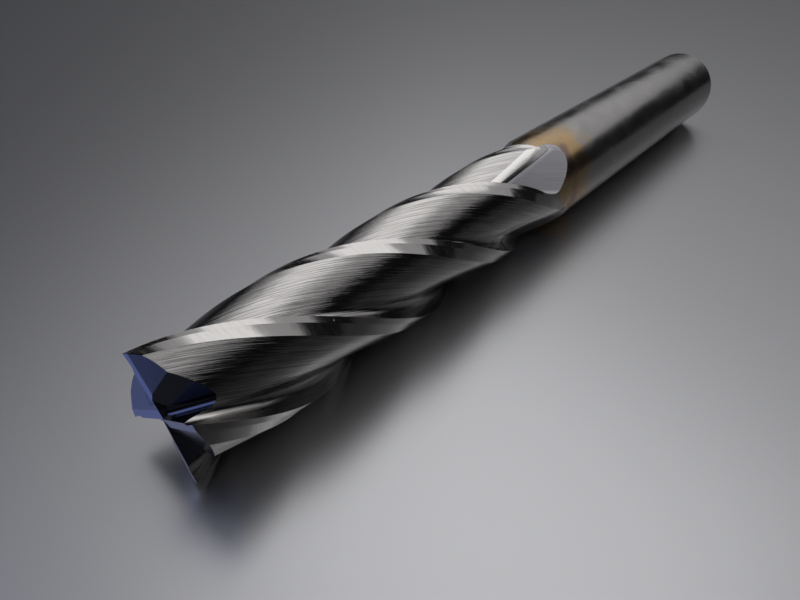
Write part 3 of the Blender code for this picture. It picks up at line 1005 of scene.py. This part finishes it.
# A dark screen stands on the bench round the tool, as round bright metal in a studio, and gives the tool its
# dark edges. The metal mirrors it, and it holds back the backdrop's light, but the camera doesn't see it. It
# is low on the far side, where the metal mirrors the pale backdrop above it, and high on the camera's side.
# The radius is in metres. The rest are angles in degrees: the top's lowest and highest place as seen from the
# middle, and the way to its low side, counted from +Z towards +X.
SCREEN_RADIUS = 0.75
SCREEN_SIDES = 96
SCREEN_LOW, SCREEN_HIGH, LOW_SIDE = 18.0, 64.0, 164.0


def add_screen(context, s):
    """A ring whose top, seen from its middle, rises by a cosine from the far side to the camera's side."""
    turn = np.linspace(0.0, math.tau, SCREEN_SIDES, endpoint=False)
    rise = 0.5 - 0.5 * np.cos(turn - math.radians(LOW_SIDE))
    height = SCREEN_RADIUS * np.tan(np.radians(SCREEN_LOW + (SCREEN_HIGH - SCREEN_LOW) * rise))
    x, z = SCREEN_RADIUS * np.sin(turn), SCREEN_RADIUS * np.cos(turn) + s.length / 2
    points = np.concatenate([np.stack([x, s.shank / 2 - h, z], 1) for h in (np.zeros(SCREEN_SIDES), height)])
    near = np.arange(SCREEN_SIDES)
    far = np.roll(near, -1)
    faces = np.stack([near, far, far + SCREEN_SIDES, near + SCREEN_SIDES], 1)
    mesh = bpy.data.meshes.new("dark_screen")
    mesh.from_pydata(points.tolist(), [], faces.tolist())
    material, tree, shader = new_material("black_felt", linear("#1E1E20"), 0.9)
    fill(tree, shader, Metallic=0.0)
    mesh.materials.append(material)
    put_on_stage(context, mesh).visible_camera = False


# The soft lamps: the way to each from the tool, its two sides and how far off it stands, in metres.
KEY_WAY, KEY_SIZE = (0.20, -0.88, -0.43), (0.56, 0.50)
FILL_WAY, FILL_SIZE = (0.0, 1.0, 0.05), (0.60, 0.60)
WINDOW_WAY, WINDOW_SIZE, WINDOW_COLOUR = (0.74, -0.27, 0.62), (0.95, 0.40), (0.37, 0.50, 1.0)
LAMP_DISTANCE = 0.60


def soft_lamp(context, name, middle, way, sides, watts, tint=(1.0, 1.0, 1.0)):
    """A large oblong lamp that shines at the tool's middle, and isn't seen itself."""
    lamp = bpy.data.lights.new(name, "AREA")
    lamp.shape = "RECTANGLE"
    lamp.size, lamp.size_y = sides
    lamp.energy = watts
    lamp.color = tint
    thing = bpy.data.objects.new(name, lamp)
    unit = np.array(way) / np.linalg.norm(way)
    thing.matrix_world = aimed(middle + unit * LAMP_DISTANCE, middle)
    thing.visible_camera = False
    context.scene.collection.objects.link(thing)
    return thing


class ENDMILL_OT_set_bench(bpy.types.Operator):
    """Sets the bench that the tool lies on, the soft studio light and the camera"""

    bl_idname = "endmill.set_bench"
    bl_label = "Set the bench, light and camera"

    def execute(self, context):
        bench = context.scene.end_mill_bench
        s = context.scene.end_mill_sizes
        half = bench.bench_size / 2
        # A flat sheet that touches the shank. Its face points up from the bench, which is towards -Y here.
        line = np.linspace(-half, half, BENCH_POINTS)
        along, across = np.meshgrid(line, line)
        points = np.stack([along.ravel(), np.full(along.size, s.shank / 2), across.ravel() + s.length / 2], 1)
        index = np.arange(BENCH_POINTS**2).reshape(BENCH_POINTS, BENCH_POINTS)
        faces = np.stack([index[:-1, :-1], index[:-1, 1:], index[1:, 1:], index[1:, :-1]], -1).reshape(-1, 4)
        mesh = bpy.data.meshes.new("bench")
        mesh.from_pydata(points.tolist(), [], faces.tolist())
        if mesh.polygons[0].normal.y > 0.0:
            mesh.flip_normals()
        mesh.materials.append(bench_material(bench))
        sheet = put_on_stage(context, mesh)

        context.scene.world = pale_world(bench)
        add_screen(context, s)
        middle = np.array([0.0, 0.0, s.length / 2])
        soft_lamp(context, "soft_key", middle, KEY_WAY, KEY_SIZE, bench.key_power)
        window_power = bench.window_power
        soft_lamp(context, "cool_window", middle, WINDOW_WAY, WINDOW_SIZE, window_power, WINDOW_COLOUR)
        under = soft_lamp(context, "soft_fill", middle, FILL_WAY, FILL_SIZE, bench.fill_power)
        # The fill lights the underside for the views from behind, so the bench doesn't shade it.
        unshaded = bpy.data.collections.new("fill_passes_through")
        unshaded.objects.link(sheet)
        under.light_linking.blocker_collection = unshaded
        unshaded.collection_objects[0].light_linking.link_state = "EXCLUDE"

        lens = bpy.data.cameras.new("camera")
        lens.lens = bench.focal_length
        lens.sensor_fit = "HORIZONTAL"
        lens.sensor_width = SENSOR_WIDTH
        lens.clip_start, lens.clip_end = CLIP_RANGE
        camera = bpy.data.objects.new("camera", lens)
        turn = Euler([math.radians(angle) for angle in CAMERA_TURN])
        camera.matrix_world = Matrix.LocRotScale(CAMERA_PLACE, turn, None)
        context.scene.collection.objects.link(camera)
        context.scene.camera = camera
        context.scene.view_settings.view_transform = "Standard"
        return {"FINISHED"}


def aimed(place, target):
    """The matrix of a lamp at a place that shines at a target: its -Z axis points there."""
    back = (place - target) / np.linalg.norm(place - target)
    right = np.cross([0.0, 0.0, 1.0], back)
    right /= np.linalg.norm(right)
    up = np.cross(back, right)
    rows = np.eye(4)
    rows[:3, 0], rows[:3, 1], rows[:3, 2], rows[:3, 3] = right, up, back, place
    return Matrix(rows.tolist())


class ENDMILL_PT_panel(bpy.types.Panel):
    """Lists the steps and the settings"""

    bl_label = "End Mill"
    bl_idname = "ENDMILL_PT_panel"
    bl_space_type = "VIEW_3D"
    bl_region_type = "UI"
    bl_category = "End Mill"

    def draw(self, context):
        layout = self.layout
        scene = context.scene
        layout.operator(ENDMILL_OT_grind_tool.bl_idname)
        layout.operator(ENDMILL_OT_set_bench.bl_idname)
        for title, group in (
            ("Sizes", scene.end_mill_sizes),
            ("Finish", scene.end_mill_finish),
            ("Bench and light", scene.end_mill_bench),
        ):
            box = layout.box()
            box.label(text=title)
            for name in group.__annotations__:
                box.prop(group, name)


CLASSES = (
    EndMillSizes,
    EndMillFinish,
    EndMillBench,
    ENDMILL_OT_grind_tool,
    ENDMILL_OT_set_bench,
    ENDMILL_PT_panel,
)


def register():
    for kind in CLASSES:
        bpy.utils.register_class(kind)
    bpy.types.Scene.end_mill_sizes = PointerProperty(type=EndMillSizes)
    bpy.types.Scene.end_mill_finish = PointerProperty(type=EndMillFinish)
    bpy.types.Scene.end_mill_bench = PointerProperty(type=EndMillBench)


def unregister():
    del bpy.types.Scene.end_mill_bench
    del bpy.types.Scene.end_mill_finish
    del bpy.types.Scene.end_mill_sizes
    for kind in reversed(CLASSES):
        bpy.utils.unregister_class(kind)


def main():
    register()
    bpy.ops.endmill.grind_tool()
    bpy.ops.endmill.set_bench()


if __name__ == "__main__":
    main()
